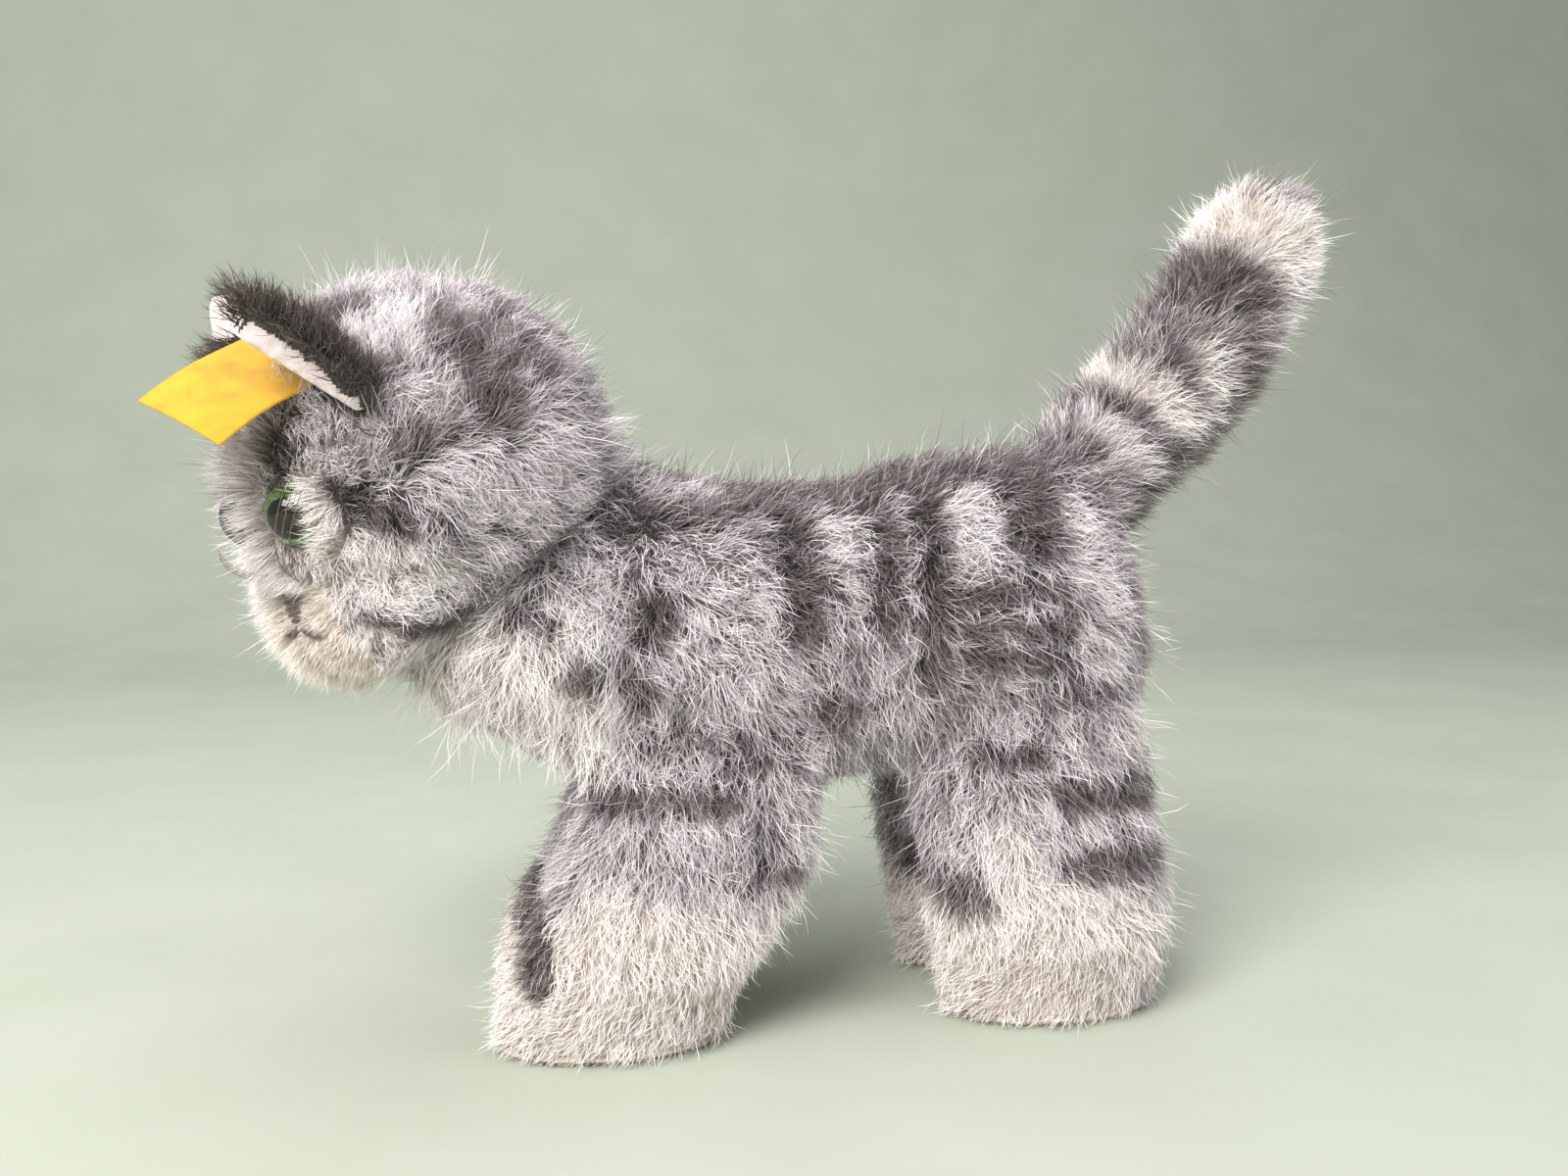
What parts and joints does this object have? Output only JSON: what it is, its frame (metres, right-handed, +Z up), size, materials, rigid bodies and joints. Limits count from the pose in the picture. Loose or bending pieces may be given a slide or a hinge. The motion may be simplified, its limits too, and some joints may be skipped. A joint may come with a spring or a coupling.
{
  "type": "plush cat",
  "caption": "Standing stuffed toy cat with striped pile, raised tail and a head that swivels on a cotter-pin disc joint.",
  "frame": {"origin": "on the floor under the middle of the standing toy", "axes": "+Z up, -X the way the toy faces, -Y its left side"},
  "size_m": [0.2334, 0.0828, 0.1754],
  "materials": {
    "striped_mohair": "mohair pile, dark roots with silver tips",
    "light_mohair": "mohair pile, cream",
    "ear_mohair": "mohair pile, dark brown",
    "short_plush": "short clipped plush",
    "ear_cloth": "smooth brushed cloth",
    "stuffing": "loose polyester fibre",
    "hardboard": "plain hardboard",
    "steel": "zinc plated",
    "clear_eye": "clear, polished",
    "iris_green": "moulded, glossy",
    "pupil_black": "glossy",
    "brown_thread": "twisted cotton",
    "whisker_nylon": "fine nylon filament",
    "yellow_ribbon": "woven satin"
  },
  "bodies": {
    "body": {"belly_panel": "light_mohair", "body_neck_disc": "hardboard", "body_neck_washer": "steel", "front_left_leg_cover": "striped_mohair", "front_left_leg_sole": "short_plush", "front_left_leg_stuffing": "stuffing", "front_right_leg_cover": "striped_mohair", "front_right_leg_sole": "short_plush", "front_right_leg_stuffing": "stuffing", "hind_left_leg_cover": "striped_mohair", "hind_left_leg_sole": "short_plush", "hind_left_leg_stuffing": "stuffing", "hind_right_leg_cover": "striped_mohair", "hind_right_leg_sole": "short_plush", "hind_right_leg_stuffing": "stuffing", "tail_cover": "striped_mohair", "tail_stuffing": "stuffing", "torso_cover_left": "striped_mohair", "torso_cover_right": "striped_mohair", "torso_stuffing": "stuffing"},
    "head": {"cotter_pin": "steel", "ear_back_left": "ear_mohair", "ear_back_right": "ear_mohair", "ear_hem_stitches": "brown_thread", "ear_lining_left": "ear_cloth", "ear_lining_right": "ear_cloth", "eye_iris_left": "iris_green", "eye_iris_right": "iris_green", "eye_lens_left": "clear_eye", "eye_lens_right": "clear_eye", "eye_pupil_left": "pupil_black", "eye_pupil_right": "pupil_black", "eye_washer_left": "steel", "eye_washer_right": "steel", "head_cover_left": "striped_mohair", "head_cover_right": "striped_mohair", "head_gusset": "striped_mohair", "head_neck_disc": "hardboard", "head_neck_washer": "steel", "head_stuffing": "stuffing", "mouth_stitches": "brown_thread", "muzzle_cover": "short_plush", "nose_stitches": "brown_thread", "ribbon_tag": "yellow_ribbon", "whiskers_left": "whisker_nylon", "whiskers_right": "whisker_nylon"}
  },
  "joints": [
    {"name": "head_swivel", "type": "hinge", "parent": "body", "child": "head", "pos_m": [-0.0589, 0.0034, 0.0939], "axis": [-0.6691, 0, 0.7431], "continuous": true}
  ]
}
